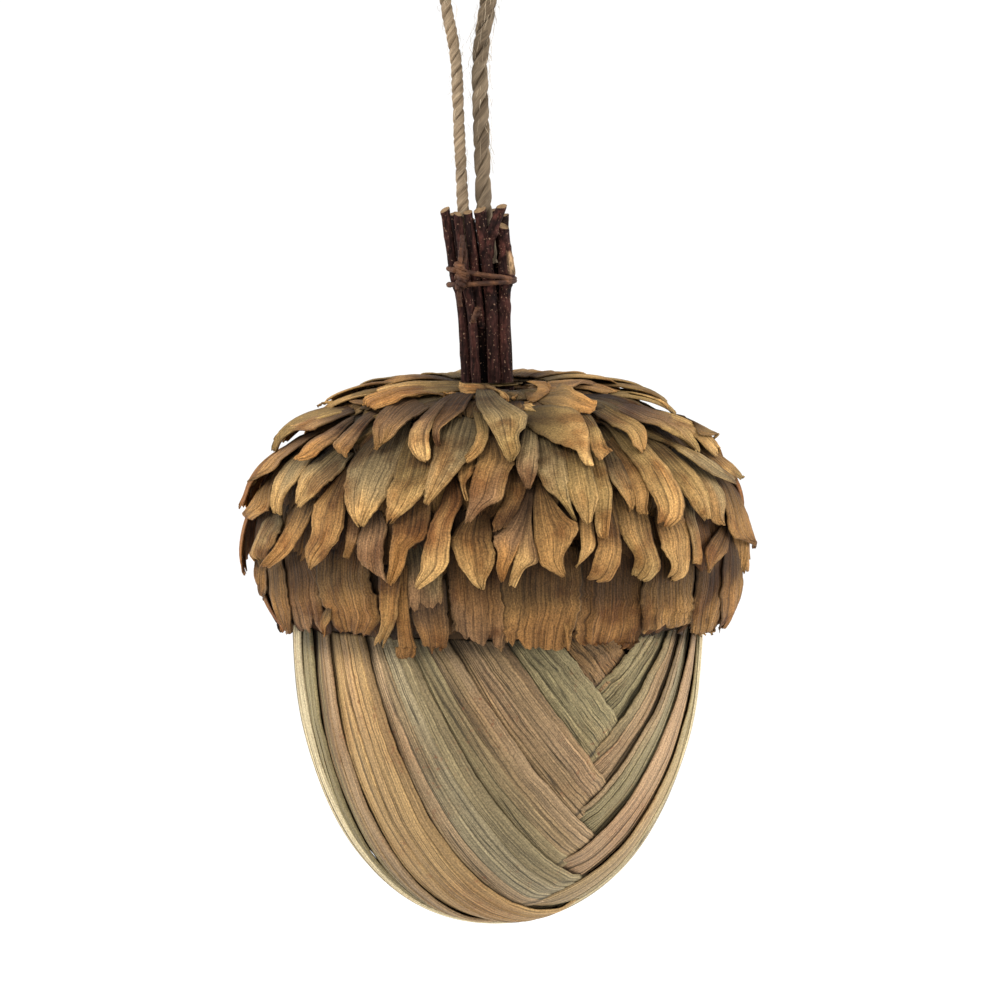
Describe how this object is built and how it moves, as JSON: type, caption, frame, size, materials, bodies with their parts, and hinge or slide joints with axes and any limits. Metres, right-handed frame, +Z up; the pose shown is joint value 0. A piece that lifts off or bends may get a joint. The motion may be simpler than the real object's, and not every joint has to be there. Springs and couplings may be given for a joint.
{
  "type": "acorn ornament",
  "caption": "Hanging acorn ornament: egg-shaped nut wrapped in dried husk strips, domed cap shingled with dried petals, a wire-tied twig stem and a twine loop.",
  "frame": {"origin": "inner top of the twine loop, where the ornament hangs", "axes": "+Z up along the acorn's height, the front faces -Y, +X to the right seen from the front"},
  "size_m": [0.1272, 0.1265, 0.2432],
  "materials": {
    "dark_form": "dark foam form, matte",
    "husk": "dried husk, tan and grey-green, long fine lines, soft sheen",
    "petal": "dried petals, olive to orange-brown, streaked, dull",
    "bark": "dark red-brown twig bark with pale specks and pale cut ends",
    "paper_wire": "rust-brown paper-covered wire, matte",
    "jute": "two-ply jute twine, fuzzy"
  },
  "bodies": {
    "root": {"form": "dark_form", "husk_left_0": "husk", "husk_left_1": "husk", "husk_left_2": "husk", "husk_left_3": "husk", "husk_left_4": "husk", "husk_left_5": "husk", "husk_left_6": "husk", "husk_left_7": "husk", "husk_right_1": "husk", "husk_right_2": "husk", "husk_right_3": "husk", "husk_right_4": "husk", "husk_right_5": "husk", "husk_back_left_0": "husk", "husk_back_left_1": "husk", "husk_back_left_2": "husk", "husk_back_left_3": "husk", "husk_back_left_4": "husk", "husk_back_right_1": "husk", "husk_back_right_2": "husk", "husk_back_right_3": "husk", "husk_belt": "husk", "petals_rim": "petal", "petals_row_2": "petal", "petals_row_3": "petal", "petals_row_4": "petal", "petals_row_5": "petal", "petals_row_6": "petal", "petals_collar": "petal", "twig_left": "bark", "twig_torn": "bark", "twig_slim": "bark", "twig_forked": "bark", "twig_right": "bark", "twig_behind_1": "bark", "twig_behind_2": "bark", "twig_behind_3": "bark", "twig_behind_4": "bark", "wire_tie": "paper_wire", "twine_loop": "jute"}
  },
  "joints": []
}
